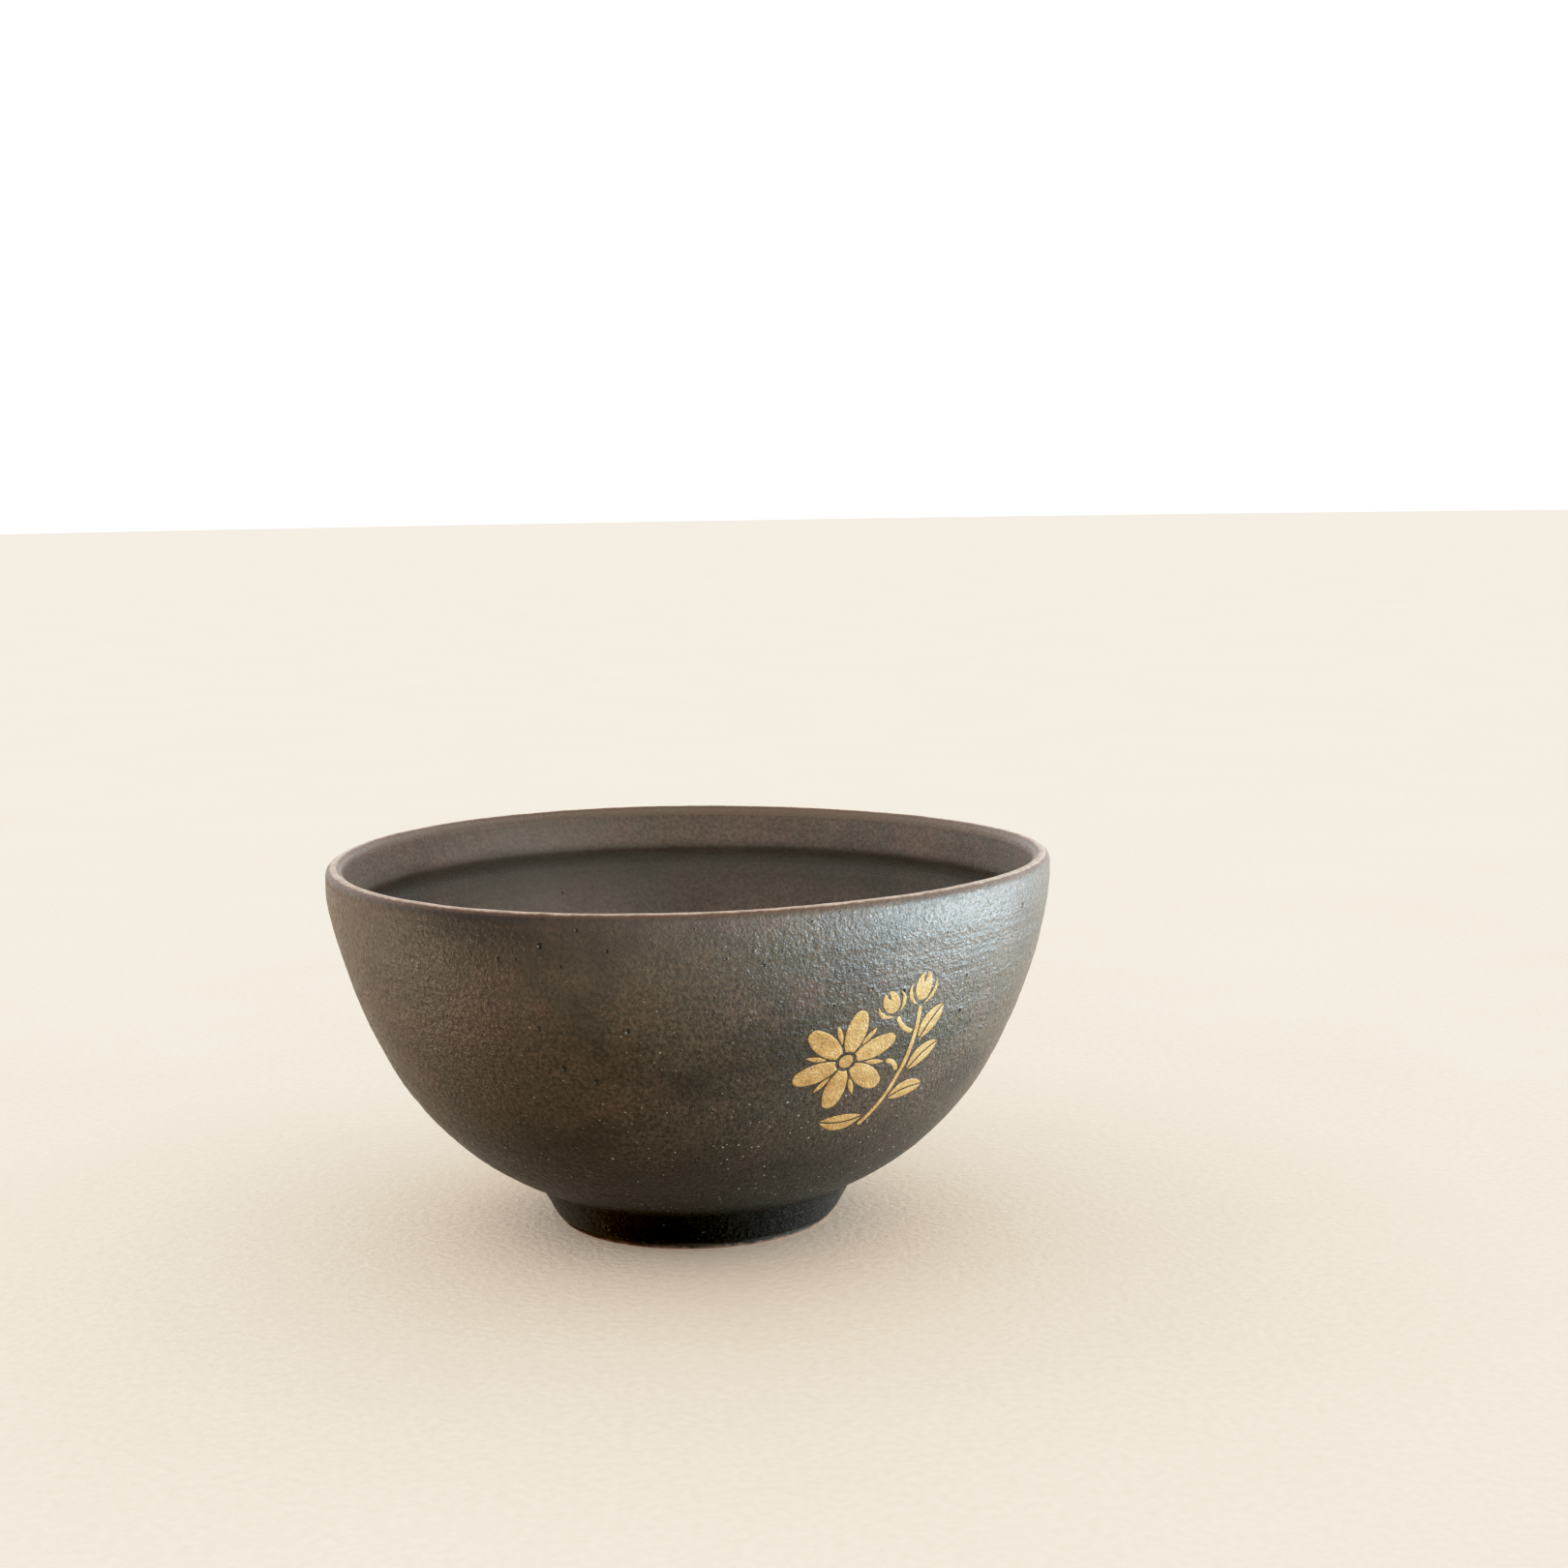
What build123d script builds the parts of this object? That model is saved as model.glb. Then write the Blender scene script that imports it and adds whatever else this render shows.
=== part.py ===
from build123d import *
from collections import namedtuple
from math import cos, hypot, radians, sin
import os

# A matcha bowl (chawan) of dark stoneware, with a spray of flowers in fired gold on its wall.
# Units are millimetres. The origin is the centre of the foot's resting plane, +Z is up,
# -Y is the bowl's face and the gold spray sits on that side, towards +X.

# ---- Driving dimensions ----
RIM_RADIUS = 60.0
HEIGHT = 61.5
LIP_RADIUS = 1.4            # roundness of the lip, whose wall is twice this thick
COAT = 0.35                 # thickness of the fired coats outside, inside and on the lip
GOLD = 0.10                 # thickness of the fired gold

FOOT_SLOPE = 61.5           # degrees that the foot's side stands up from the table
FOOT_SIDE = 7.25            # length of the foot's side, along its slope
FOOT_JOINT_HEIGHT = 5.6     # height at which the foot ring is luted to the bowl
FOOT_BARE_SIDE = 1.0        # stretch of the foot's side left bare, next to the table
FOOT_WELL_RADIUS = 18.6     # the hollow under the bowl, inside the foot ring, at its top
FOOT_WELL_TAPER = 8.0       # degrees that the well's side leans outwards on its way down
FOOT_EDGE_RADIUS = 0.7      # roundness of the foot ring's two lower edges

LIP_BAND_OUTSIDE = 0.55     # how far the lip's band runs down the outside, below the lip
LIP_BAND_INSIDE = 0.45      # and down the inside

# A path in the section plane is a list of straight stretches and tangent bends.
# A positive turn bends to the left of travel, in degrees.
Straight = namedtuple("Straight", "length")
Bend = namedtuple("Bend", "radius turn")
Place = namedtuple("Place", "r z heading")

# The outside, from the table up: foot side, soft corner under the wall, then the wall.
FOOT_MOVES = [Straight(FOOT_SIDE), Bend(1.75, -37.5)]
WALL_MOVES = [Bend(48.5, 37.0), Bend(88.0, 18.0), Bend(27.0, 11.0)]

# The inside, from the lip down: a bevelled collar, the ridge under it, the shallow groove
# where the tea cloth runs, the wall, the floor's corner and the edge of the tea pool.
COLLAR_LEAN = 12.5
LIP_MOVE = Bend(LIP_RADIUS, 180 - COLLAR_LEAN)
INSIDE_MOVES = [
    Straight(6.0 - LIP_BAND_INSIDE),
    Bend(1.2, 34.0),
    Bend(4.5, -38.5),
    Bend(86.0, -11.5),
    Bend(50.0, -43.0),
    Bend(20.0, -18.5),
    Bend(3.0, 20.0),
    Bend(5.0, -20.0),
]

# ---- The gold spray ----
# Its plane touches the wall at the flower's centre. x runs level to the right, y up the wall.
SPRAY_AZIMUTH = -65.4
SPRAY_HEIGHT = 36.6

# The flower: equal petals round a disc, and a narrow sepal in each gap between them.
PETAL_COUNT = 6
FIRST_PETAL = 20.0                # direction of the first petal, in degrees from x
PETAL_REACH = 8.7
PETAL_WIDTH = 3.5
PETAL_BASE = 0.35                 # half width of a petal at the ring, as a share of its width / 2
PETAL_BELLY = 0.62                # where a petal is widest, as a share of its reach
PETAL_SHOULDER = (0.925, 0.64)    # where its tip's arc starts, in shares of reach and width / 2
PETAL_STUB = 1.5                  # a petal's sides start here, inside the ring that trims them
DISC_RADIUS = 1.15
RING_RADIUS = 1.75                # the dark ring round the disc ends here
SEPAL_START = 3.4
SEPAL_END = 6.9
SEPAL_BOW = 0.42

# Branch and stalks: strokes with round ends, each an arc through three points.
STROKE_WIDTH = 0.75
STROKES = {
    "branch": ((5.4, -13.0), (10.5, -4.0), (12.1, 6.9)),
    "flower_stalk": ((7.6, -1.3), (8.7, -1.9), (9.5, -3.2)),
    "bud_stalk": ((10.9, 3.3), (9.4, 4.3), (8.2, 6.0)),
}

# Leaves: stalk end, tip, and how far the vein down the middle bows to the left of the
# line between them. Each is two halves with the vein left bare.
LEAF_BOW = 1.4                    # how far each half bows out beyond the vein
VEIN = 0.35                       # width of the bare vein
LEAVES = {
    "leaf_lower_left": ((5.2, -11.4), (-2.0, -11.4), 0.6),
    "leaf_lower_right": ((9.4, -8.8), (15.9, -8.2), 0.6),
    "leaf_middle_right": ((11.9, -4.0), (17.1, -0.3), 0.5),
    "leaf_upper_right": ((13.0, 1.4), (17.0, 6.3), 0.4),
}

# Buds: the middle of the egg, its two half lengths and its lean in degrees. The egg is
# slit from its top, and two small leaves cup it from its foot up.
BUDS = {
    "top_bud": ((12.3, 10.6), (1.6, 2.35), -4.0),
    "side_bud": ((6.4, 9.1), (1.45, 2.05), 30.0),
}
BUD_SLIT = (0.2, 0.75)            # the slit's half lengths, in half lengths of the egg
CUP_FOOT = (0.35, -1.25)          # where a cup leaf starts, in half lengths of its egg
CUP_TIP = (1.45, 0.35)            # where it ends
CUP_BOW = (1.15, 0.5)             # how far its outer and inner sides bow out, in mm


# ---- Section paths ----
def right_of(heading):
    """Unit vector to the right of a heading given in degrees."""
    return sin(radians(heading)), -cos(radians(heading))


def beside(place, shift):
    """The point at a distance to the right of a place on a path."""
    x, y = right_of(place.heading)
    return place.r + shift * x, place.z + shift * y


def after(place, move):
    """The place that one move leads to."""
    if isinstance(move, Straight):
        x, y = right_of(place.heading + 90)
        return Place(place.r + move.length * x, place.z + move.length * y, place.heading)
    arm = move.radius if move.turn > 0 else -move.radius
    centre = beside(place, -arm)
    x, y = right_of(place.heading + move.turn)
    return Place(centre[0] + arm * x, centre[1] + arm * y, place.heading + move.turn)


def end_of(place, moves):
    """The place that a run of moves leads to."""
    for move in moves:
        place = after(place, move)
    return place


def path_edges(place, moves, shift):
    """Edges of a run of moves, all moved sideways by the same distance to the right."""
    edges = []
    for move in moves:
        end = after(place, move)
        if isinstance(move, Straight):
            edges.append(Line(beside(place, shift), beside(end, shift)))
        else:
            middle = after(place, Bend(move.radius, move.turn / 2))
            edges.append(ThreePointArc(beside(place, shift), beside(middle, shift), beside(end, shift)))
        place = end
    return edges


def turned(edges):
    """The solid of revolution of a closed section drawn with x as radius and y as height."""
    section = Plane.XZ * make_face(edges)
    return revolve(section, Axis.Z, 360)


def layer(place, moves, low, high):
    """A turned shell along a path, between two sideways shifts of it."""
    end = end_of(place, moves)
    edges = path_edges(place, moves, low) + path_edges(place, moves, high)
    for stop in (place, end):
        a, b = beside(stop, low), beside(stop, high)
        if hypot(a[0] - b[0], a[1] - b[1]) > 0:
            edges.append(Line(a, b))
    return turned(edges)


# ---- Places along the whole section, from the table up and then down the inside ----
from_axis = end_of(Place(0, 0, FOOT_SLOPE), FOOT_MOVES + WALL_MOVES)
FOOT_RADIUS = RIM_RADIUS - from_axis.r
TABLE = Place(FOOT_RADIUS, 0, FOOT_SLOPE)
WALL_FOOT = end_of(TABLE, FOOT_MOVES)
WALL_TOP = end_of(WALL_FOOT, WALL_MOVES)
upright = HEIGHT - LIP_RADIUS - WALL_TOP.z
BELOW_LIP = [Straight(upright - LIP_BAND_OUTSIDE)]
LIP_BAND_START = end_of(WALL_TOP, BELOW_LIP)
LIP_BAND_MOVES = [Straight(LIP_BAND_OUTSIDE), LIP_MOVE, Straight(LIP_BAND_INSIDE)]
INSIDE_START = end_of(LIP_BAND_START, LIP_BAND_MOVES)
POOL_EDGE = end_of(INSIDE_START, INSIDE_MOVES)
FLOOR_MOVES = INSIDE_MOVES + [Straight(POOL_EDGE.r)]
FLOOR_HEIGHT = POOL_EDGE.z
COAT_START = end_of(TABLE, [Straight(FOOT_BARE_SIDE)])
COAT_FOOT_MOVES = [Straight(FOOT_SIDE - FOOT_BARE_SIDE)] + FOOT_MOVES[1:]


# ---- Clay ----
def clay_blank():
    """Foot and bowl in one, as thick as the clay is under its coats. It starts below the table."""
    run_up = 1.0
    start = end_of(TABLE, [Straight(-run_up)])
    moves = [Straight(run_up)] + FOOT_MOVES + WALL_MOVES + BELOW_LIP + LIP_BAND_MOVES + FLOOR_MOVES
    edges = path_edges(start, moves, -COAT)
    outer_corner = beside(start, -COAT)
    floor_centre = beside(end_of(start, moves), -COAT)
    edges.append(Line(floor_centre, (0, outer_corner[1])))
    edges.append(Line((0, outer_corner[1]), outer_corner))
    return turned(edges)


def slab(low, high):
    """A disc wider than the bowl, to cut the clay at a height."""
    return Pos(0, 0, low) * Cylinder(2 * RIM_RADIUS, high - low, align=(Align.CENTER, Align.CENTER, Align.MIN))


def clay_body():
    """The thrown bowl: wall and floor, flat where the foot ring is luted on."""
    return clay_blank() & slab(FOOT_JOINT_HEIGHT, 2 * HEIGHT)


def foot_ring():
    """The turned foot: outside as the bowl's outline, inside a slightly flared well."""
    well_spread = FOOT_JOINT_HEIGHT * sin(radians(FOOT_WELL_TAPER)) / cos(radians(FOOT_WELL_TAPER))
    well = Cone(FOOT_WELL_RADIUS + well_spread, FOOT_WELL_RADIUS, FOOT_JOINT_HEIGHT,
                align=(Align.CENTER, Align.CENTER, Align.MIN))
    ring = (clay_blank() & slab(0, FOOT_JOINT_HEIGHT)) - well
    lower_edges = ring.edges().filter_by(GeomType.CIRCLE).group_by(Axis.Z)[0]
    return fillet(lower_edges, FOOT_EDGE_RADIUS)


# ---- Coats ----
def outer_coat():
    """The dark coat outside, from just above the table to the lip's band."""
    return layer(COAT_START, COAT_FOOT_MOVES + WALL_MOVES + BELOW_LIP, -COAT, 0)


def lip_band():
    """The lighter band over the lip, where the coat has drawn thin."""
    return layer(LIP_BAND_START, LIP_BAND_MOVES, -COAT, 0)


def inner_coat():
    """The coat inside, from the lip's band to the middle of the floor."""
    return layer(INSIDE_START, FLOOR_MOVES, -COAT, 0)


# ---- Gold ----
def wall_at(height):
    """The place on the outside of the wall at a height, found by halving a bend's turn."""
    place = WALL_FOOT
    for bend in WALL_MOVES:
        if after(place, bend).z > height:
            low, high = 0.0, bend.turn
            while high - low > 1e-6:
                turn = (low + high) / 2
                if after(place, Bend(bend.radius, turn)).z > height:
                    high = turn
                else:
                    low = turn
            return after(place, Bend(bend.radius, low))
        place = after(place, bend)
    return place


def spray_plane():
    """The plane that touches the wall at the flower's centre."""
    place = wall_at(SPRAY_HEIGHT)
    a, h = radians(SPRAY_AZIMUTH), radians(place.heading)
    origin = (place.r * cos(a), place.r * sin(a), place.z)
    outward = (sin(h) * cos(a), sin(h) * sin(a), -cos(h))
    return Plane(origin, x_dir=(-sin(a), cos(a), 0), z_dir=outward)


def petal(direction):
    """A petal: narrow at the ring round the disc, widest past half way, with a round tip."""
    half = PETAL_WIDTH / 2

    def side(sign):
        base = (PETAL_STUB, sign * PETAL_BASE * half)
        belly = (PETAL_BELLY * PETAL_REACH, sign * half)
        return ThreePointArc(base, belly, shoulder(sign))

    def shoulder(sign):
        return PETAL_SHOULDER[0] * PETAL_REACH, sign * PETAL_SHOULDER[1] * half

    tip = ThreePointArc(shoulder(1), (PETAL_REACH, 0), shoulder(-1))
    base = Line((PETAL_STUB, PETAL_BASE * half), (PETAL_STUB, -PETAL_BASE * half))
    outline = make_face([side(1), tip, side(-1), base])
    return Rot(0, 0, direction) * outline - Circle(RING_RADIUS)


def lens(start, end, left, right):
    """The shape between two arcs with the same ends, that bow to the left by left and right."""
    length = hypot(end[0] - start[0], end[1] - start[1])
    along = ((end[0] - start[0]) / length, (end[1] - start[1]) / length)
    middle = ((start[0] + end[0]) / 2, (start[1] + end[1]) / 2)

    def side(bow):
        return ThreePointArc(start, (middle[0] - bow * along[1], middle[1] + bow * along[0]), end)

    return make_face([side(left), side(right)])


def sepal(direction):
    """A narrow pointed leaf between two petals."""
    return Rot(0, 0, direction) * lens((SEPAL_START, 0), (SEPAL_END, 0), SEPAL_BOW, -SEPAL_BOW)


def stroke(points):
    """A bent stroke of even width with round ends."""
    return SlotArc(ThreePointArc(*points), STROKE_WIDTH)


def leaf_half(start, end, vein_bow, side):
    """Half of a leaf, on the left of its vein (side 1) or on the right (side -1)."""
    length = hypot(end[0] - start[0], end[1] - start[1])
    shift = side * VEIN / 2 / length
    aside = (-(end[1] - start[1]) * shift, (end[0] - start[0]) * shift)
    return Pos(*aside) * lens(start, end, vein_bow + side * LEAF_BOW, vein_bow)


def bud(centre, radii, lean):
    """An egg with a narrow slit that opens at its top."""
    slit = Pos(0, radii[1]) * Ellipse(BUD_SLIT[0] * radii[0], BUD_SLIT[1] * radii[1])
    return Pos(*centre) * Rot(0, 0, lean) * (Ellipse(*radii) - slit)


def bud_cup(centre, radii, lean, side):
    """The small leaf that cups a bud on its right (side 1) or left (side -1)."""
    foot = (side * CUP_FOOT[0] * radii[0], CUP_FOOT[1] * radii[1])
    tip = (side * CUP_TIP[0] * radii[0], CUP_TIP[1] * radii[1])
    outline = lens(foot, tip, -side * CUP_BOW[0], -side * CUP_BOW[1])
    return Pos(*centre) * Rot(0, 0, lean) * outline


def gold_outlines():
    """Every island of the spray, by name, as a flat outline."""
    outlines = {"disc": Circle(DISC_RADIUS)}
    spacing = 360 / PETAL_COUNT
    for i in range(PETAL_COUNT):
        direction = FIRST_PETAL + i * spacing
        outlines[f"petal_{i + 1}"] = petal(direction)
        outlines[f"sepal_{i + 1}"] = sepal(direction + spacing / 2)
    for name, points in STROKES.items():
        outlines[name] = stroke(points)
    for name, (start, end, vein_bow) in LEAVES.items():
        outlines[name + "_left_half"] = leaf_half(start, end, vein_bow, 1)
        outlines[name + "_right_half"] = leaf_half(start, end, vein_bow, -1)
    for name, (centre, radii, lean) in BUDS.items():
        outlines[name] = bud(centre, radii, lean)
        outlines[name + "_cup_right"] = bud_cup(centre, radii, lean, 1)
        outlines[name + "_cup_left"] = bud_cup(centre, radii, lean, -1)
    return outlines


def gold_island(outline, plane, film):
    """The piece of the gold film inside one outline, pushed straight onto the wall."""
    reach_in, reach_out = 8.0, 1.0
    prism = extrude(plane.offset(-reach_in) * outline, reach_in + reach_out)
    return prism & film


# ---- Making ----
def make_parts():
    """Every node of the bowl, by name."""
    parts = {
        "clay_body": clay_body(),
        "foot_ring": foot_ring(),
        "outer_coat": outer_coat(),
        "inner_coat": inner_coat(),
        "lip_band": lip_band(),
    }
    plane = spray_plane()
    film = layer(WALL_FOOT, WALL_MOVES, 0, GOLD)
    for name, outline in gold_outlines().items():
        parts["gold_" + name] = gold_island(outline, plane, film)
    return parts


os.makedirs("parts", exist_ok=True)
for node, shape in make_parts().items():
    export_step(shape, "parts/" + node + ".step")
print("foot radius", round(FOOT_RADIUS, 2), "floor height", round(FLOOR_HEIGHT, 2))
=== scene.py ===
from math import ceil, cos, pi, radians, sin

import bmesh
import bpy
import numpy as np
from mathutils import Matrix, Vector
from mathutils.geometry import delaunay_2d_cdt


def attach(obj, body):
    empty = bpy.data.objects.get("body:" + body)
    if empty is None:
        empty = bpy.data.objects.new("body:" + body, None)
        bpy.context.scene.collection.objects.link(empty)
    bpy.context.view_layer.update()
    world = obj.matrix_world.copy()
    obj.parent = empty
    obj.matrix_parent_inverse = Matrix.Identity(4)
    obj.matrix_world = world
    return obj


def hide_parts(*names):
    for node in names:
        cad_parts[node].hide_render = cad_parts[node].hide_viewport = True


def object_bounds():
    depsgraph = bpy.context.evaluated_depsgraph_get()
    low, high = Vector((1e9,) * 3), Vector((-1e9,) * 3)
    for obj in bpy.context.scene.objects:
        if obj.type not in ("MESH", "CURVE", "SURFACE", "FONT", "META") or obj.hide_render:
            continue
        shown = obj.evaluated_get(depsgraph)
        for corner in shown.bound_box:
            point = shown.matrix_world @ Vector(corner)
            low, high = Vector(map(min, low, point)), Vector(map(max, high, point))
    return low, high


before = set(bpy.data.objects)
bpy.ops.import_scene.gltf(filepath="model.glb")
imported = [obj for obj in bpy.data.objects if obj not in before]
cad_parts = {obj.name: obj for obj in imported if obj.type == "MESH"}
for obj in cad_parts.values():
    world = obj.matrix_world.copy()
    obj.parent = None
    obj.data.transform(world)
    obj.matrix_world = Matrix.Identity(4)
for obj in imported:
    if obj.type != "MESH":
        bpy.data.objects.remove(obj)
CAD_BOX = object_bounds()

# A matcha bowl of dark stoneware with a spray of flowers in fired gold.
# Lengths are in millimetres, as in the CAD model, until MM turns them into metres.
MM = 0.001
LOW, HIGH = (np.array(corner) / MM for corner in CAD_BOX)
RIM_RADIUS = (HIGH[0] - LOW[0]) / 2
HEIGHT = HIGH[2]


# ---- Camera ----
CAMERA_PLACE = (0.0, -414.7, 123.9)
CAMERA_YAW = 2.19             # degrees to the right of +Y
CAMERA_PITCH = 7.11           # degrees below the horizon
CAMERA_ROLL = -0.91
CAMERA_LENS = 57.78           # on a sensor 36 mm wide


def add_camera():
    """The camera, at the photograph's viewing angle."""
    yaw, pitch, roll = (radians(a) for a in (CAMERA_YAW, CAMERA_PITCH, CAMERA_ROLL))
    forward = Vector((sin(yaw) * cos(pitch), cos(yaw) * cos(pitch), -sin(pitch)))
    level = Vector((cos(yaw), -sin(yaw), 0))
    upright = level.cross(forward)
    right = cos(roll) * level + sin(roll) * upright
    up = cos(roll) * upright - sin(roll) * level
    data = bpy.data.cameras.new("camera")
    data.lens = CAMERA_LENS
    data.clip_start = 0.01
    camera = bpy.data.objects.new("camera", data)
    turn = Matrix((right, up, -forward)).transposed().to_4x4()
    camera.matrix_world = Matrix.Translation(Vector(CAMERA_PLACE) * MM) @ turn
    bpy.context.scene.collection.objects.link(camera)
    bpy.context.scene.camera = camera


# ---- The bowl's section: one path, up the outside and down the inside ----
# Moves are ("line", length) or ("bend", radius, degrees to the left of travel).
FOOT_SLOPE = 61.5
FOOT_MOVES = [("line", 7.25), ("bend", 1.75, -37.5)]
WALL_MOVES = [("bend", 48.5, 37.0), ("bend", 88.0, 18.0), ("bend", 27.0, 11.0)]
LIP_RADIUS = 1.4
LIP_MOVES = [("bend", LIP_RADIUS, 167.5)]
INSIDE_MOVES = [
    ("line", 6.0),
    ("bend", 1.2, 34.0),
    ("bend", 4.5, -38.5),
    ("bend", 86.0, -11.5),
    ("bend", 50.0, -43.0),
    ("bend", 20.0, -18.5),
    ("bend", 3.0, 20.0),
    ("bend", 5.0, -20.0),
]
COAT = 0.35                   # thickness of the coats
GOLD = 0.10                   # thickness of the gold
FOOT_BARE_SIDE = 1.0
FOOT_JOINT_HEIGHT = 5.6
FOOT_WELL_RADIUS = 18.6
FOOT_WELL_TAPER = 8.0
FOOT_EDGE_RADIUS = 0.7
LIP_BAND_OUTSIDE = 0.55
LIP_BAND_INSIDE = 0.45
TRACE_STEP = 0.05


def trace(place, moves):
    """Close places along a run of moves: rows of length, r, z and heading in degrees."""
    length, (r, z, heading) = 0.0, place
    rows = [(length, r, z, heading)]
    for kind, size, *turns in moves:
        turn = turns[0] if turns else 0.0
        travel = size * radians(abs(turn)) if kind == "bend" else size
        steps = max(2, ceil(travel / TRACE_STEP))
        for _ in range(steps):
            heading += turn / steps / 2
            r += travel / steps * cos(radians(heading))
            z += travel / steps * sin(radians(heading))
            heading += turn / steps / 2
            length += travel / steps
            rows.append((length, r, z, heading))
    return np.array(rows)


def trace_section():
    """The whole section, and the lengths along it where its stretches meet."""
    run = trace((0, 0, FOOT_SLOPE), FOOT_MOVES + WALL_MOVES)[-1]
    outside = FOOT_MOVES + WALL_MOVES + [("line", HEIGHT - LIP_RADIUS - run[2])]
    start = (RIM_RADIUS - run[1], 0, FOOT_SLOPE)
    to_lip = trace(start, outside)
    over_lip = trace(tuple(to_lip[-1, 1:]), LIP_MOVES)
    inside = trace(tuple(over_lip[-1, 1:]), INSIDE_MOVES)
    floor = trace(tuple(inside[-1, 1:]), [("line", inside[-1, 1])])
    parts, length = [], 0.0
    for part in (to_lip, over_lip, inside, floor):
        shifted = part.copy()
        shifted[:, 0] += length
        length = shifted[-1, 0]
        parts.append(shifted)
    return np.vstack(parts), [part[-1, 0] for part in parts]


SECTION, (LIP_START, LIP_END, _, FLOOR_CENTRE) = trace_section()
GROOVE_START = LIP_END + INSIDE_MOVES[0][1] + 0.7
BAND_START = LIP_START - LIP_BAND_OUTSIDE
BAND_END = LIP_END + LIP_BAND_INSIDE


def section_at(length):
    """Radius, height and heading (radians) of the section at lengths along it."""
    r, z, heading = (np.interp(length, SECTION[:, 0], SECTION[:, i]) for i in (1, 2, 3))
    return r, z, np.radians(heading)


# ---- What the hand and the fire did to the surface ----
def smooth_step(x):
    """0 below 0, 1 above 1 and a soft rise between."""
    x = np.clip(x, 0, 1)
    return x * x * (3 - 2 * x)


def lattice_noise(along, angle, cell, around, seed):
    """Smooth noise from -1 to 1, in cells of one length along and a whole number around."""
    rows = int(ceil(SECTION[-1, 0] / cell)) + 3
    values = np.random.default_rng(seed).uniform(-1, 1, (rows, around))
    u = np.maximum(along / cell, 0)
    v = (angle / (2 * pi)) % 1 * around
    i, j = np.floor(u).astype(int), np.floor(v).astype(int) % around
    fu, fv = smooth_step(u - np.floor(u)), smooth_step(v - np.floor(v))
    i2, j2 = np.minimum(i + 1, rows - 1), (j + 1) % around
    low = values[i, j] * (1 - fv) + values[i, j2] * fv
    high = values[i2, j] * (1 - fv) + values[i2, j2] * fv
    return low * (1 - fu) + high * fu


# Throwing lines and lumps: cell length along the section, cells around, height.
THROWING_LINES = [(0.55, 11, 0.016), (1.1, 9, 0.028), (2.6, 7, 0.035)]
LUMPS = [(1.6, 200, 0.020), (3.0, 110, 0.022), (7.0, 40, 0.04)]
LINES_SEED, LUMPS_SEED = 10, 20
LIP_CREST = (LIP_START + LIP_END) / 2
LIP_CALM, LIP_FADE = 1.2, 1.6  # no throwing lines nearer the crest than this, then a fade
FOOT_FADE, FLOOR_FADE = 4.0, 12.0  # lengths over which relief ends at the foot and the middle


def relief(along, angle):
    """How far the surface stands out from the true section: throwing lines and soft lumps."""
    away_from_lip = smooth_step((np.abs(along - LIP_CREST) - LIP_CALM) / LIP_FADE)
    fade_foot = smooth_step(along / FOOT_FADE)
    height = 0
    for seed, (cell, around, amount) in enumerate(THROWING_LINES):
        height = height + amount * lattice_noise(along, angle, cell, around, LINES_SEED + seed)
    height = height * away_from_lip
    for seed, (cell, around, amount) in enumerate(LUMPS):
        height = height + amount * lattice_noise(along, angle, cell, around, LUMPS_SEED + seed)
    fade_floor = smooth_step((FLOOR_CENTRE - along) / FLOOR_FADE)
    return height * fade_foot * fade_floor


RIM_SAG = 0.36                # the rim isn't level: a saddle this high and low
RIM_INWARD = 0.27             # the rim's mean radius is this much under the largest
RIM_LOW = 0.02                # and its highest place is this much under the true one
BULGE = 0.2                   # a fuller place on the left, just below the rim
BULGE_HEIGHT, BULGE_SPREAD = 57.0, 6.0
OVAL, OVAL_TURN = 0.06, 1.0    # three soft corners seen from above
WARP_START = 6.0              # the bowl is true under this height


def warp(r, z, angle):
    """Moves points of the true bowl to where the handmade one has them, as x, y and z."""
    ramp = smooth_step((z - WARP_START) / (HEIGHT - WARP_START))
    bulge = BULGE * np.exp(-((z - BULGE_HEIGHT) / BULGE_SPREAD) ** 2)
    oval = OVAL * np.cos(3 * angle + OVAL_TURN)
    r = r - RIM_INWARD * ramp - bulge * np.cos(angle) * ramp + oval * ramp
    z = z - (RIM_SAG * (1 + np.sin(2 * angle)) + RIM_LOW) * ramp
    return np.stack(np.broadcast_arrays(r * np.cos(angle), r * np.sin(angle), z), axis=-1)


def surface(along, angle, depth=0.0):
    """Points of the finished surface, or some depth under it."""
    r, z, heading = section_at(along)
    out = relief(along, angle) - depth
    return warp(r + out * np.sin(heading), z - out * np.cos(heading), angle)


# ---- Meshes ----
def link(name, points, faces):
    """A smooth closed mesh object from points in millimetres, with its normals outward."""
    data = bpy.data.meshes.new(name)
    data.from_pydata((np.asarray(points) * MM).tolist(), [], faces)
    bm = bmesh.new()
    bm.from_mesh(data)
    bmesh.ops.recalc_face_normals(bm, faces=bm.faces)
    bm.to_mesh(data)
    bm.free()
    data.shade_smooth()
    piece = bpy.data.objects.new(name, data)
    bpy.context.scene.collection.objects.link(piece)
    return piece


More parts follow.
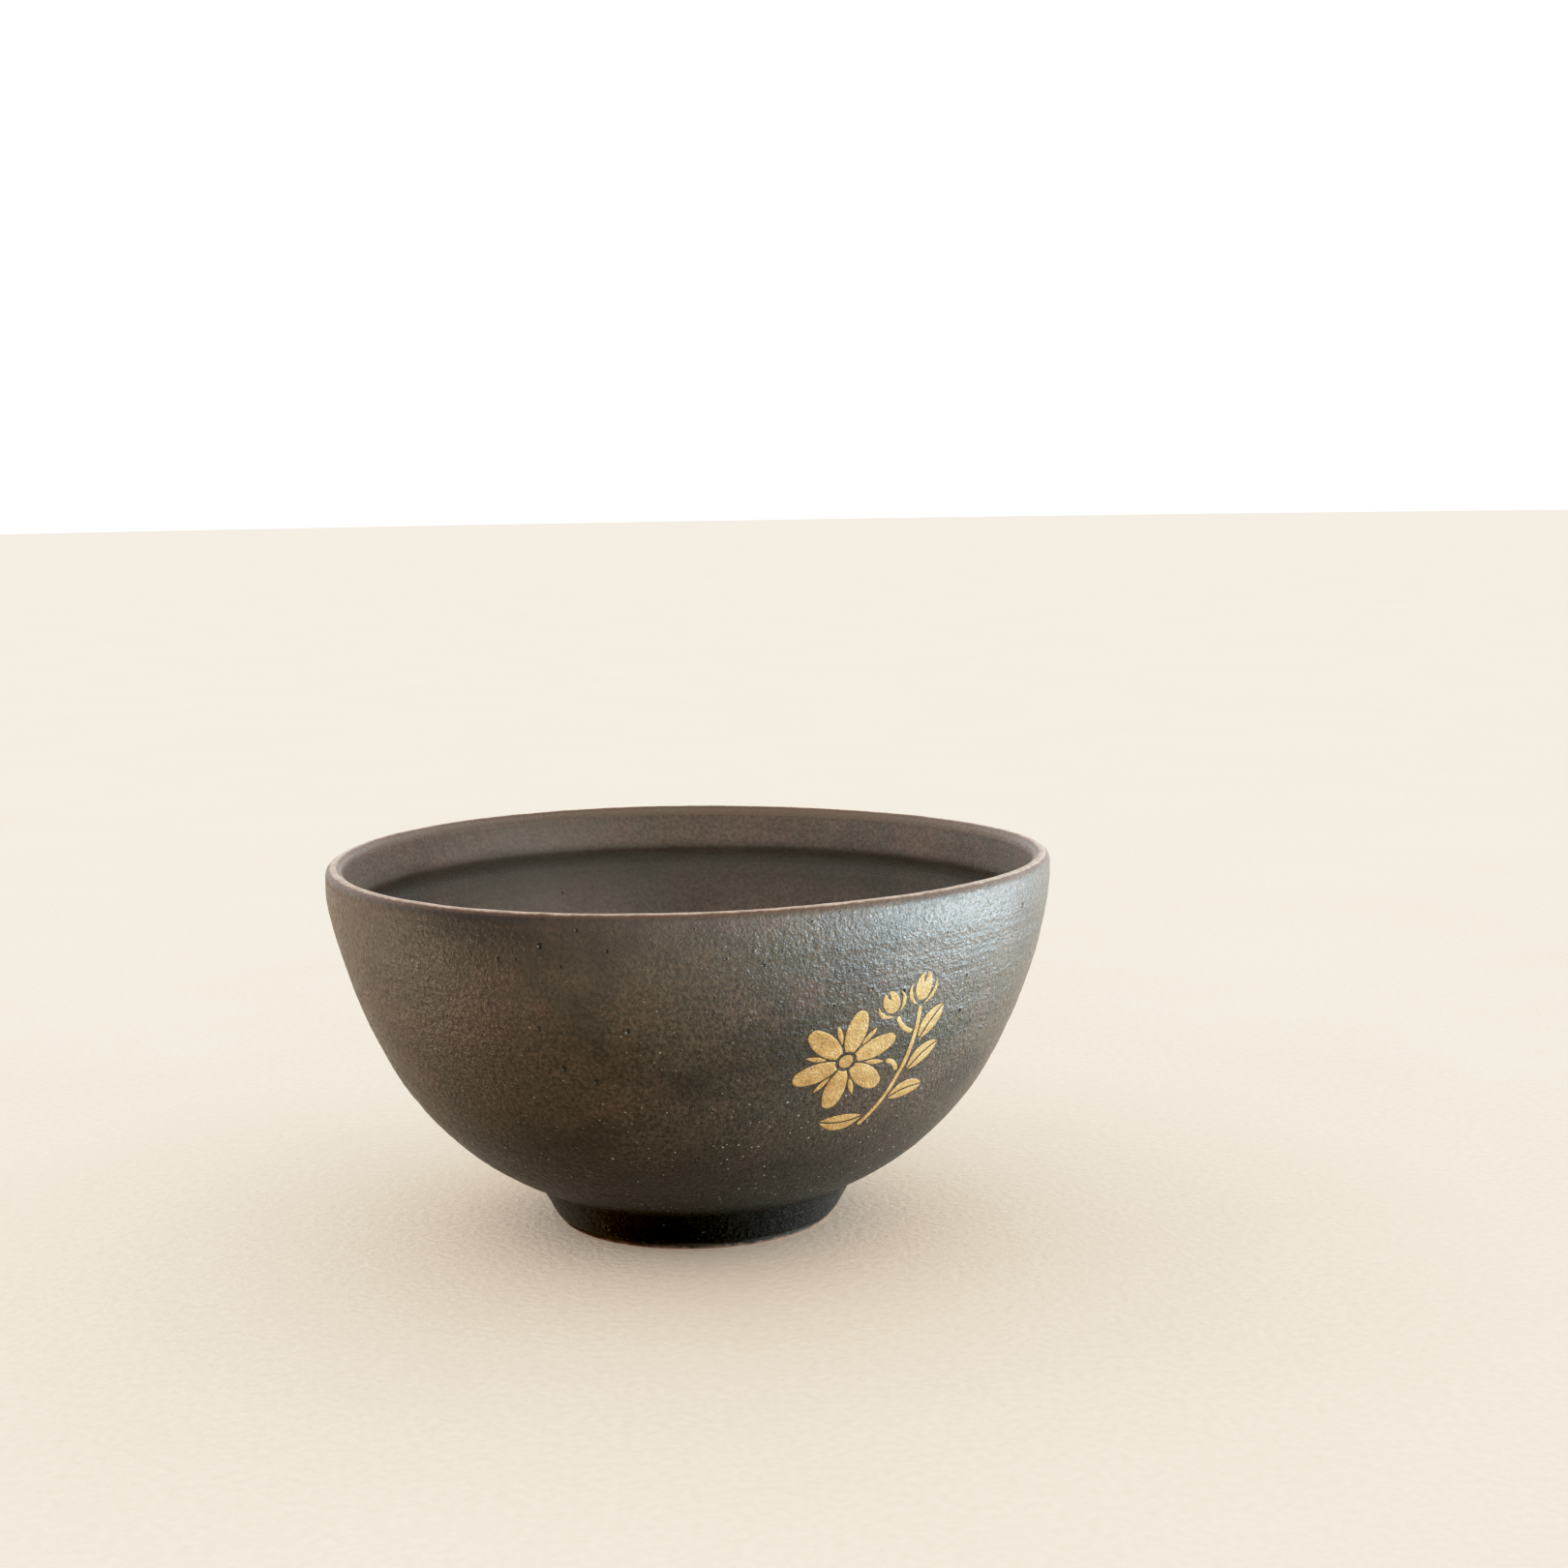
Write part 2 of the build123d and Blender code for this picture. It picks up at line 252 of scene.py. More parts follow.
def turned(name, rows, closed):
    """A mesh from rows of points round the axis. A row of one point is a pole."""
    starts, count = [], 0
    for row in rows:
        starts.append(count)
        count += len(row)
    faces = []
    pairs = list(zip(range(len(rows)), range(1, len(rows))))
    if closed:
        pairs.append((len(rows) - 1, 0))
    for a, b in pairs:
        columns = max(len(rows[a]), len(rows[b]))
        ring = np.arange(columns)
        ahead = (ring + 1) % columns
        near, near_ahead = starts[a] + ring, starts[a] + ahead
        far, far_ahead = starts[b] + ring, starts[b] + ahead
        if len(rows[a]) == 1:
            corners = (np.full(columns, starts[a]), far_ahead, far)
        elif len(rows[b]) == 1:
            corners = (near, near_ahead, np.full(columns, starts[b]))
        else:
            corners = (near, near_ahead, far_ahead, far)
        faces.extend(np.stack(corners, 1).tolist())
    return link(name, np.vstack(rows), faces)


def angles(columns):
    """Angles of evenly spaced columns round the axis."""
    return np.arange(columns) * 2 * pi / columns


def unrolled(piece, lengths):
    """Stores where each point is along the section and round the bowl, for the materials."""
    points = np.empty(len(piece.data.vertices) * 3)
    piece.data.vertices.foreach_get("co", points)
    x, y = points.reshape(-1, 3)[:, :2].T
    angle = np.arctan2(y, x)
    store = piece.data.attributes.new("unrolled", "FLOAT_VECTOR", "POINT")
    values = np.stack((RIM_RADIUS * np.cos(angle), RIM_RADIUS * np.sin(angle), lengths), 1)
    store.data.foreach_set("vector", values.astype(np.float32).ravel())


def dress(piece, node, material):
    """Makes a piece stand for its CAD node and material."""
    piece.data.materials.append(material)
    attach(piece, "root")
    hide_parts(node)


EDGE_CELL, EDGE_CELLS_ROUND, EDGE_SEED = 3.0, 23, 41  # the noise of a coat's wavy edge
EDGE_SETTLE = 6.0             # length over which the rows lose the edge's wave
EDGE_ROUNDING = 0.25          # how quickly a coat rises from its edge
EDGE_ROWS = [0, 0.08, 0.18, 0.3, 0.45]
BACK_DEPTH = COAT * 0.96      # a coat's back stops just short of the clay


def coat(name, start, end, rows, back_rows, columns, edge_wave=0.0):
    """A coat between two lengths of the section: its free face, and its back against the clay.
    edge_wave makes the start a wavy line, with a rounded edge."""
    angle = angles(columns)
    place = np.full(columns, 5.0)
    wave = edge_wave * lattice_noise(place, angle, EDGE_CELL, EDGE_CELLS_ROUND, EDGE_SEED)
    points, lengths = [], []

    def row(along, depth):
        if along >= FLOOR_CENTRE:
            points.append(surface(np.array([along]), np.array([0.0]), depth))
            lengths.append(np.full(1, along))
            return
        shifted = along + wave * np.clip(1 - (along - start) / EDGE_SETTLE, 0, 1)
        rounding = COAT * np.exp(-(along - start) / EDGE_ROUNDING) if edge_wave else 0.0
        points.append(surface(shifted, angle, depth + min(rounding, COAT * 0.9) * (depth == 0)))
        lengths.append(shifted)

    front = np.linspace(start, end, rows + 1)
    near_start = np.array(EDGE_ROWS if edge_wave else [0, 0.01])
    front = np.concatenate((start + near_start, front[1 + 2 * bool(edge_wave):]))
    if end < FLOOR_CENTRE:
        front = np.insert(front, -1, end - 0.01)
    for along in front:
        row(along, 0.0)
    for along in np.linspace(end, start, back_rows + 1):
        row(along, BACK_DEPTH)
    if end >= FLOOR_CENTRE:
        turn = len(front)
        points = points[turn - 1::-1] + points[:turn - 1:-1]
        lengths = lengths[turn - 1::-1] + lengths[:turn - 1:-1]
    piece = turned(name, points, closed=end < FLOOR_CENTRE)
    unrolled(piece, np.concatenate(lengths))
    return piece


FOOT_PATH = SECTION[:300]     # rows that rise past the foot's joint
FOOT_JOINT = np.interp(FOOT_JOINT_HEIGHT, FOOT_PATH[:, 2], FOOT_PATH[:, 0])
UNDERSIDE_RINGS = 110
UNDERSIDE_RISE = 0.06
SPIRAL_DEPTH, SPIRAL_PITCH = 0.06, 1.9
BUTTON_HEIGHT, BUTTON_RADIUS = 0.25, 4.0


def make_clay_body(columns=240):
    """The thrown clay under the coats, with turning marks on its underside inside the foot."""
    angle = angles(columns)
    rows = [surface(np.array([FLOOR_CENTRE]), np.zeros(1), COAT)]
    lengths = [np.zeros(1)]
    for along in np.linspace(FLOOR_CENTRE, FOOT_JOINT, 200)[1:]:
        rows.append(surface(np.full(columns, along), angle, COAT))
        lengths.append(np.zeros(columns))
    edge = np.hypot(*rows[-1][0, :2])
    rows[-1][:, 2] = FOOT_JOINT_HEIGHT
    for k in range(UNDERSIDE_RINGS):
        r = edge * (1 - (k + 1) / (UNDERSIDE_RINGS + 1))
        inside = smooth_step((FOOT_WELL_RADIUS - r) / 2.0)
        groove = SPIRAL_DEPTH * np.sin(2 * pi * r / SPIRAL_PITCH + angle)
        spiral = groove * inside * smooth_step(r / 3.0)
        button = BUTTON_HEIGHT * np.exp(-(r / BUTTON_RADIUS) ** 2)
        z = FOOT_JOINT_HEIGHT + (UNDERSIDE_RISE + spiral - button + BUTTON_HEIGHT) * inside
        rows.append(np.stack((r * np.cos(angle), r * np.sin(angle), z), 1))
        lengths.append(np.full(columns, r))
    rows.append(np.array([[0, 0, FOOT_JOINT_HEIGHT + UNDERSIDE_RISE]]))
    lengths.append(np.zeros(1))
    piece = turned("clay_body_thrown", rows, closed=False)
    unrolled(piece, np.concatenate(lengths))
    return piece


def rounded_edge(outer, centre, start, end):
    """Adds the arc of one of the foot's edges to an outline."""
    for turn in np.linspace(start, end, 7):
        outer.append((centre[0] + FOOT_EDGE_RADIUS * cos(turn),
                      centre[1] + FOOT_EDGE_RADIUS * sin(turn)))


def foot_outline():
    """The foot ring's section from its joint down the outside, across and up the well."""
    outer = []
    slope = radians(FOOT_SLOPE)
    aside = (-COAT * sin(slope), COAT * cos(slope))
    r0, z0 = SECTION[0, 1] + aside[0], aside[1]
    foot_r = r0 - z0 / np.tan(slope)
    reach = FOOT_EDGE_RADIUS / np.tan((pi - slope) / 2)
    for along in np.linspace(FOOT_JOINT, 0, 20):
        r, z, _ = section_at(along)
        r, z = r + aside[0], z + aside[1]
        if z > reach * sin(slope) + 0.05:
            outer.append((float(r), float(z)))
    outer[0] = (outer[0][0], FOOT_JOINT_HEIGHT)
    rounded_edge(outer, (foot_r - reach, FOOT_EDGE_RADIUS), slope - pi / 2, -pi / 2)
    taper = radians(FOOT_WELL_TAPER)
    well_r = FOOT_WELL_RADIUS + FOOT_JOINT_HEIGHT * np.tan(taper)
    reach = FOOT_EDGE_RADIUS / np.tan((pi / 2 + taper) / 2)
    centre = (well_r + reach, FOOT_EDGE_RADIUS)
    flat = np.linspace(outer[-1][0], centre[0], 8)[1:-1]
    outer.extend((r, 0.0) for r in flat)
    rounded_edge(outer, centre, -pi / 2, -pi - taper)
    for z in np.linspace(outer[-1][1], FOOT_JOINT_HEIGHT, 22)[1:]:
        outer.append((FOOT_WELL_RADIUS + (FOOT_JOINT_HEIGHT - z) * np.tan(taper), z))
    return outer


CUT_DEPTH, CUT_PITCH = 0.03, 1.1  # the cutting marks in the foot's well
CUT_INSIDE = 20.5
CHATTER_DEPTH, CHATTER_CELL, CHATTER_CELLS_ROUND, CHATTER_SEED = 0.02, 1.5, 60, 61


def make_foot_ring(columns=360):
    """The turned foot, with cutting marks in its well and a softly uneven standing edge."""
    angle = angles(columns)
    rows, lengths = [], []
    for r, z in foot_outline():
        below_joint = z < FOOT_JOINT_HEIGHT - 0.2
        mark = CUT_DEPTH * sin(2 * pi * z / CUT_PITCH) if r < CUT_INSIDE and below_joint else 0.0
        chatter = CHATTER_DEPTH * lattice_noise(
            np.full(columns, z + 2), angle, CHATTER_CELL, CHATTER_CELLS_ROUND, CHATTER_SEED)
        ring = r + (mark + chatter if z > 0.3 and below_joint else 0.0) * np.ones(columns)
        rows.append(np.stack((ring * np.cos(angle), ring * np.sin(angle), np.full(columns, z)), 1))
        lengths.append(np.full(columns, z + r))
    piece = turned("foot_ring_turned", rows, closed=True)
    unrolled(piece, np.concatenate(lengths))
    return piece


# ---- The gold, laid on the finished wall island by island ----
SPRAY_AZIMUTH = -65.4
SPRAY_HEIGHT = 36.6
GOLD_MESH = 0.2               # spacing of the points inside an island
GOLD_OUTLINE = 0.12           # and along its outline
GOLD_ROUNDING = 0.07          # how quickly an island rises from its edge
GOLD_SUNK = 0.05              # how far its back goes into the coat
GOLD_RIM, GOLD_CROWN = 0.55, 0.35  # shares of its thickness at the edge, and added inside it
GOLD_CROWDED = 0.4            # points nearer than this share of the spacing are dropped
WALL_HALVINGS = 40
OUTER_PATH = SECTION[SECTION[:, 0] <= LIP_START]


def spray_axes():
    """Origin, level axis, axis up the wall and outward axis of the plane on the spray's centre."""
    along = np.interp(SPRAY_HEIGHT, OUTER_PATH[:, 2], OUTER_PATH[:, 0])
    r, z, heading = section_at(along)
    a = radians(SPRAY_AZIMUTH)
    origin = np.array([r * cos(a), r * sin(a), z])
    level = np.array([-sin(a), cos(a), 0])
    outward = np.array([sin(heading) * cos(a), sin(heading) * sin(a), -cos(heading)])
    return origin, level, np.cross(outward, level), outward


def outline_of(node, axes):
    """The outline of a CAD gold island in the spray's plane, as one ring of points."""
    origin, level, up, outward = axes
    bm = bmesh.new()
    bm.from_mesh(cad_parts[node].data)
    bmesh.ops.remove_doubles(bm, verts=bm.verts, dist=0.002 * MM)
    facing = [f for f in bm.faces if Vector(outward).dot(f.normal) > 0.7]
    step = {}
    for loop in (loop for face in facing for loop in face.loops):
        if sum(f in facing for f in loop.edge.link_faces) == 1:
            step[loop.vert] = loop.link_loop_next.vert
    rings = []
    while step:
        vert, ring = next(iter(step)), []
        while vert in step:
            offset = np.array(vert.co) / MM - origin
            ring.append((offset @ level, offset @ up))
            vert = step.pop(vert)
        rings.append(ring)
    bm.free()
    return np.array(max(rings, key=len))


def respaced(ring, spacing):
    """A ring of points, with its long stretches cut up and its crowded points dropped."""
    out = []
    for a, b in zip(ring, np.roll(ring, -1, axis=0)):
        count = max(1, int(round(np.linalg.norm(b - a) / spacing)))
        out.extend(a + (b - a) * k / count for k in range(count))
    kept = [out[0]]
    for p in out[1:]:
        if np.linalg.norm(p - kept[-1]) > spacing * GOLD_CROWDED:
            kept.append(p)
    if np.linalg.norm(kept[-1] - kept[0]) < spacing * GOLD_CROWDED:
        kept.pop()
    return np.array(kept)


def distance_inside(points, ring):
    """Distance of points to a ring, negative outside it."""
    a, b = ring, np.roll(ring, -1, axis=0)
    edge = b - a
    rel = points[:, None] - a
    t = np.clip((rel * edge).sum(2) / (edge ** 2).sum(1), 0, 1)
    distance = np.sqrt(((rel - t[..., None] * edge) ** 2).sum(2)).min(1)
    above = (a[:, 1] > points[:, None, 1]) != (b[:, 1] > points[:, None, 1])
    slope = np.where(edge[:, 1] == 0, 1e-9, edge[:, 1])
    cross = a[:, 0] + (points[:, None, 1] - a[:, 1]) * edge[:, 0] / slope
    odd = (above & (points[:, None, 0] < cross)).sum(1) % 2
    return np.where(odd == 1, distance, -distance)


def wall_under(flat, axes):
    """Where points of the spray's plane land on the wall, straight behind it: length and angle."""
    origin, level, up, outward = axes
    base = origin + flat[:, :1] * level + flat[:, 1:] * up
    near, far = np.full(len(flat), -1.0), np.full(len(flat), 9.0)
    for _ in range(WALL_HALVINGS):
        middle = (near + far) / 2
        p = base - middle[:, None] * outward
        wall = np.interp(p[:, 2], OUTER_PATH[:, 2], OUTER_PATH[:, 1])
        outside = np.hypot(p[:, 0], p[:, 1]) > wall
        near, far = np.where(outside, middle, near), np.where(outside, far, middle)
    p = base - near[:, None] * outward
    return np.interp(p[:, 2], OUTER_PATH[:, 2], OUTER_PATH[:, 0]), np.arctan2(p[:, 1], p[:, 0])


def make_gold_island(node, axes):
    """One island of gold: a thin pad with rounded edges that follows the wall's relief."""
    ring = respaced(outline_of(node, axes), GOLD_OUTLINE)
    low, high = ring.min(0), ring.max(0)
    xs = np.arange(low[0], high[0], GOLD_MESH)
    ys = np.arange(low[1], high[1], GOLD_MESH * 0.87)
    grid = np.array([(x + (k % 2) * GOLD_MESH / 2, y) for k, y in enumerate(ys) for x in xs])
    inner = grid[distance_inside(grid, ring) > GOLD_MESH * GOLD_CROWDED]
    flat = [Vector(p) for p in np.vstack((ring, inner))]
    sides = [(i, (i + 1) % len(ring)) for i in range(len(ring))]
    made = delaunay_2d_cdt(flat, sides, [], 1, 1e-6)
    flat, triangles = np.array([tuple(v) for v in made[0]]), [tuple(f) for f in made[2]]
    along, angle = wall_under(flat, axes)
    depth_in = np.maximum(distance_inside(flat, ring), 0)
    rise = GOLD * (GOLD_RIM + GOLD_CROWN * (1 - np.exp(-depth_in / GOLD_ROUNDING)))
    top, back = surface(along, angle, -rise), surface(along, angle, GOLD_SUNK)
    uses = {}
    for a, b, c in triangles:
        for edge in ((a, b), (b, c), (c, a)):
            uses[frozenset(edge)] = edge if frozenset(edge) not in uses else None
    count = len(flat)
    faces = list(triangles)
    faces += [(c + count, b + count, a + count) for a, b, c in triangles]
    faces += [(b, a, a + count, b + count) for a, b in filter(None, uses.values())]
    piece = link(node + "_laid", np.vstack((top, back)), faces)
    piece.data.set_sharp_from_angle(angle=radians(35))
    return piece


# ---- Materials ----
# Grain sizes, bump heights and lengths along the section are in millimetres, shares run
# from 0 to 1, and colours are linear.
class Shader:
    """A material's node tree, with short calls for the nodes used below."""

    def __init__(self, name):
        self.material = bpy.data.materials.new(name)
        self.material.use_nodes = True
        self.tree = self.material.node_tree
        self.tree.nodes.clear()
        self.body = self.add("ShaderNodeBsdfPrincipled")
        output = self.add("ShaderNodeOutputMaterial")
        self.tree.links.new(self.body.outputs[0], output.inputs[0])
        self.place = self.add("ShaderNodeTexCoord").outputs["Object"]

    def add(self, kind, **settings):
        """A new node with its settings."""
        node = self.tree.nodes.new(kind)
        for key, value in settings.items():
            setattr(node, key, value)
        return node

    def feed(self, socket, value):
        """Links a socket to another, or sets its number."""
        if isinstance(value, bpy.types.NodeSocket):
            self.tree.links.new(value, socket)
        elif value is not None:
            socket.default_value = value

    def math(self, operation, a, b=None, c=None, clamp=False):
        """One sum of values or sockets."""
        node = self.add("ShaderNodeMath", operation=operation, use_clamp=clamp)
        for socket, value in zip(node.inputs, (a, b, c)):
            self.feed(socket, value)
        return node.outputs[0]

    def scaled(self, stretch, shift=(0, 0, 0), place=None):
        """The place, stretched and shifted."""
        node = self.add("ShaderNodeMapping")
        self.feed(node.inputs["Vector"], place or self.place)
        node.inputs["Scale"].default_value = stretch
        node.inputs["Location"].default_value = shift
        return node.outputs[0]

    def noise(self, size, detail=2.0, rough=0.5, place=None, unit=MM):
        """Noise whose lumps measure about size millimetres."""
        node = self.add("ShaderNodeTexNoise")
        self.feed(node.inputs["Vector"], place or self.place)
        node.inputs["Scale"].default_value = 1 / (size * unit)
        node.inputs["Detail"].default_value = detail
        node.inputs["Roughness"].default_value = rough
        return node.outputs[0]

    def spots(self, cell, radius, share, soft=0.35, seed=0.0):
        """Round spots, 1 inside and 0 outside: one in some of the cells, by share."""
        node = self.add("ShaderNodeTexVoronoi")
        self.feed(node.inputs["Vector"], self.scaled((1, 1, 1), (seed, seed, seed)))
        node.inputs["Scale"].default_value = 1 / (cell * MM)
        apart = self.add("ShaderNodeSeparateColor")
        self.feed(apart.inputs[0], node.outputs["Color"])
        chosen = self.math("LESS_THAN", apart.outputs[0], share)
        size = self.math("MULTIPLY_ADD", apart.outputs[1], 0.8, 0.5)
        edge = self.math("MULTIPLY", size, radius / cell)
        inside = self.math("SUBTRACT", edge, node.outputs["Distance"])
        soft_inside = self.math("DIVIDE", inside, soft * radius / cell, clamp=True)
        return self.math("MULTIPLY", soft_inside, chosen)

    def ramp(self, value, low, high, out_low=0.0, out_high=1.0):
        """A straight rise from one value to another between two inputs, level beyond them."""
        node = self.add("ShaderNodeMapRange", clamp=True)
        for socket, number in zip(node.inputs, (value, low, high, out_low, out_high)):
            self.feed(socket, number)
        return node.outputs[0]

    def mix(self, share, a, b):
        """Colour a where the share is 0 and b where it is 1."""
        node = self.add("ShaderNodeMix", data_type="RGBA")
        self.feed(node.inputs[0], share)
        for socket, value in zip((node.inputs[6], node.inputs[7]), (a, b)):
            self.feed(socket, (*value, 1.0) if isinstance(value, tuple) else value)
        return node.outputs[2]

    def along(self):
        """Length along the section in millimetres, and the unrolled place."""
        node = self.add("ShaderNodeAttribute", attribute_name="unrolled")
        apart = self.add("ShaderNodeSeparateXYZ")
        self.feed(apart.inputs[0], node.outputs["Vector"])
        return apart.outputs[2], node.outputs["Vector"]

    def bump(self, height_mm):
        """Bends the normal by a height in millimetres."""
        node = self.add("ShaderNodeBump")
        node.inputs["Strength"].default_value = 1.0
        node.inputs["Distance"].default_value = MM
        self.feed(node.inputs["Height"], height_mm)
        self.feed(self.body.inputs["Normal"], node.outputs[0])

    def total(self, *terms):
        """The sum of amounts times values."""
        result = 0.0
        for amount, value in terms:
            result = self.math("MULTIPLY_ADD", value, amount, result)
        return result

    def finish(self, color, roughness, metallic=0.0, ior=1.5):
        """Fills the surface's main sockets and gives the material."""
        self.feed(self.body.inputs["Base Color"], color)
        self.feed(self.body.inputs["Roughness"], roughness)
        self.body.inputs["IOR"].default_value = ior
        self.feed(self.body.inputs["Metallic"], metallic)
        return self.material


COAT_BROWN = (0.082, 0.054, 0.033)
COAT_GREEN = (0.066, 0.050, 0.032)
COAT_RED = (0.104, 0.060, 0.041)
COAT_PAINTED_SHEEN = (0.125, 0.100, 0.081)
PAINTED_SHEEN_SHARE = 0.5              # how far the coat goes to a paler grey at the lip: painted sheen
COAT_BLACK = (0.010, 0.008, 0.006)
FOOT_PAINTED_SHADE = (0.003, 0.0026, 0.002)
INSIDE_BROWN = (0.174, 0.134, 0.107)
INSIDE_GREEN = (0.140, 0.122, 0.100)
INSIDE_RED = (0.188, 0.133, 0.110)
INSIDE_PAINTED_HIGHLIGHT = (0.300, 0.275, 0.245)
GROOVE_PAINTED_SHADE = (0.070, 0.067, 0.057)
SPECK = (0.30, 0.27, 0.21)
DUST = (0.21, 0.18, 0.13)
LIP_TAN = (0.47, 0.36, 0.285)
LIP_RED = (0.120, 0.068, 0.048)
CLAY_DARK = (0.012, 0.0095, 0.007)
CLAY_LIGHT = (0.026, 0.019, 0.013)
CLAY_EDGE = (0.14, 0.075, 0.05)
CLAY_GROG = (0.10, 0.075, 0.055)
CLAY_HOLE_SHADE = (0.006, 0.005, 0.004)
DARK_PATCH_PLACE = (-0.0315, -0.051, 0.0588)  # a darker patch outside, upper left near the lip, in metres
DARK_PATCH_REACH, DARK_PATCH_FLAT, DARK_PATCH_SHARE = 0.026, 2.7, 0.80
HIGHLIGHT_PLACE = (-0.029, 0.047, 0.049)  # and a painted highlight inside
HIGHLIGHT_REACH, HIGHLIGHT_SHARE = 0.026, 0.42
PATCH_WANDER = 0.016          # how far their edges wander
GOLD_PALE = (0.355, 0.208, 0.076)
GOLD_DEEP = (0.240, 0.124, 0.032)
GOLD_SHADE = (0.16, 0.073, 0.019)
FLOOR_PALE = (0.95, 0.822, 0.690)
FLOOR_WARM = (0.92, 0.792, 0.660)
FLOOR_GRAIN = (0.72, 0.59, 0.46)
FOOT_SHADE_END = 74.0         # painted shade: the coat darkens from here down to the foot


def coat_color(s, brown, green, red, gritty, cloudy):
    """Iron coat: drifts of green-black and red, dark clouds and a fine granular mottle."""
    drift = s.ramp(s.noise(16.0, 4.0, 0.6), 0.40, 0.60)
    reds = s.ramp(s.noise(9.0, 4.0, 0.6, s.scaled((1, 1, 1), (0.3, 0.1, 0.2))), 0.50, 0.66)
    clouds = s.ramp(s.noise(20.0, 5.0, 0.6, s.scaled((1, 1, 1.5), (0.7, 0.4, 0.1))), 0.50, 0.66)
    color = s.mix(drift, brown, green)
    color = s.mix(s.math("MULTIPLY", reds, 0.7), color, red)
    color = s.mix(s.math("MULTIPLY", clouds, cloudy), color, COAT_BLACK)
    grain = s.ramp(s.noise(0.62, 3.0, 0.65), 0.38, 0.62)
    return s.mix(s.math("MULTIPLY", grain, gritty), color, COAT_BLACK), grain


def patch(s, centre, reach, flat=1.0):
    """1 near a place of the bowl and 0 beyond a reach from it, with a wandering edge.
    flat shortens the reach up and down."""
    distance = s.add("ShaderNodeVectorMath", operation="DISTANCE")
    s.feed(distance.inputs[0], s.scaled((1, 1, flat)))
    distance.inputs[1].default_value = (centre[0], centre[1], centre[2] * flat)
    edge = s.total((1.0, distance.outputs["Value"]), (PATCH_WANDER, s.noise(7.0, 5.0, 0.6)))
    return s.ramp(edge, reach * 1.4, reach * 0.4)


def outer_color(s, along):
    """The outer coat's colour and grain: painted sheen makes it greyer towards the lip, painted
    shade darker towards the foot.
    """
    color, grain = coat_color(s, COAT_BROWN, COAT_GREEN, COAT_RED, 0.75, 0.55)
    # Painted sheen: the coat goes paler and greyer towards the lip.
    color = s.mix(s.ramp(along, 52.0, 84.0, 0.0, PAINTED_SHEEN_SHARE), color, COAT_PAINTED_SHEEN)
    # Painted shade: the coat darkens towards the foot.
    color = s.mix(s.ramp(along, FOOT_SHADE_END, 12.0, 0.0, 0.93), color, COAT_BLACK)
    # A darker patch of the outer coat, upper left near the lip.
    dark_patch = patch(s, DARK_PATCH_PLACE, DARK_PATCH_REACH, DARK_PATCH_FLAT)
    return s.mix(s.math("MULTIPLY", dark_patch, DARK_PATCH_SHARE), color, COAT_BLACK), grain


def craters(s, cell, radius, share, seed):
    """Burst bubbles: a pit with a raised rim. Gives the pits and the rims."""
    pits = s.spots(cell, radius, share, 0.5, seed)
    rims = s.spots(cell, radius * 1.9, share, 0.5, seed)
    return pits, s.math("SUBTRACT", rims, pits, clamp=True)


def outer_coat_material():
    """Satin dark coat with throwing lines, grain, craters, pale specks and a red lip edge."""
    s = Shader("outer_coat_fired")
    along, place = s.along()
    color, grain = outer_color(s, along)
    # Painted shade: the low wall and the coat on the foot go near black.
    low_wall_shade, foot = s.ramp(along, 36.0, 17.0, 0.0, 0.88), s.ramp(along, 14.0, 7.5, 0.0, 0.95)
    color = s.mix(foot, s.mix(low_wall_shade, color, COAT_BLACK), FOOT_PAINTED_SHADE)
    drifts = s.ramp(s.noise(7.0, 3.0), 0.42, 0.62, 0.15, 1.0)
    dust = s.spots(0.95, 0.15, drifts, 0.6, 0.73)
    specks = s.spots(1.9, 0.19, 0.55, 0.5)
    big_specks = s.spots(11.0, 0.6, 0.20, 0.5, 0.31)
    pits, rims = craters(s, 2.6, 0.24, 0.9, 0.17)
    big_pits, big_rims = craters(s, 4.4, 0.42, 0.8, 0.57)
    few = s.math("MULTIPLY", s.ramp(along, 70.0, 25.0, 0.10, 1.0), s.ramp(along, 8.0, 13.0))
    color = s.mix(s.math("MULTIPLY", dust, few), color, DUST)
    color = s.mix(s.math("MULTIPLY", specks, s.math("MULTIPLY", few, 0.75)), color, SPECK)
    color = s.mix(s.math("MULTIPLY", big_specks, s.math("MULTIPLY", few, 0.5)), color, SPECK)
    # Painted shade in the pits: they are drawn near black.
    all_pits = s.math("MAXIMUM", pits, big_pits)
    color = s.mix(s.math("MULTIPLY", all_pits, 0.85), color, COAT_BLACK)
    ragged = s.total((1.0, along), (0.9, s.noise(1.3, 3.0)), (0.5, s.noise(0.4, 2.0)))
    thin = s.ramp(ragged, BAND_START - 0.2, BAND_START + 1.0, 0.0, 0.14)
    color = s.mix(thin, color, LIP_RED)
    lines = s.noise(1.0, 3.0, 0.6, s.scaled((0.05, 0.05, 1.3), place=place), unit=1.0)
    lines = s.math("MULTIPLY", lines, s.ramp(along, 35.0, 62.0, 0.3, 1.0))
    roughness = s.total((0.14, grain), (0.10, s.noise(5.0)), (0.29, 1.0))
    leather = s.ramp(along, 55.0, 75.0, 0.19, 0.225)
    coarse = s.math("MULTIPLY", s.noise(0.85, 2.0, 0.55), leather)
    s.bump(s.total((1.0, coarse), (0.11, s.noise(0.36, 2.0)), (0.11, lines),
                   (-0.12, pits), (0.04, rims), (-0.20, big_pits), (0.07, big_rims),
                   (0.03, specks), (0.04, big_specks)))
    return s.finish(color, roughness, ior=1.33)


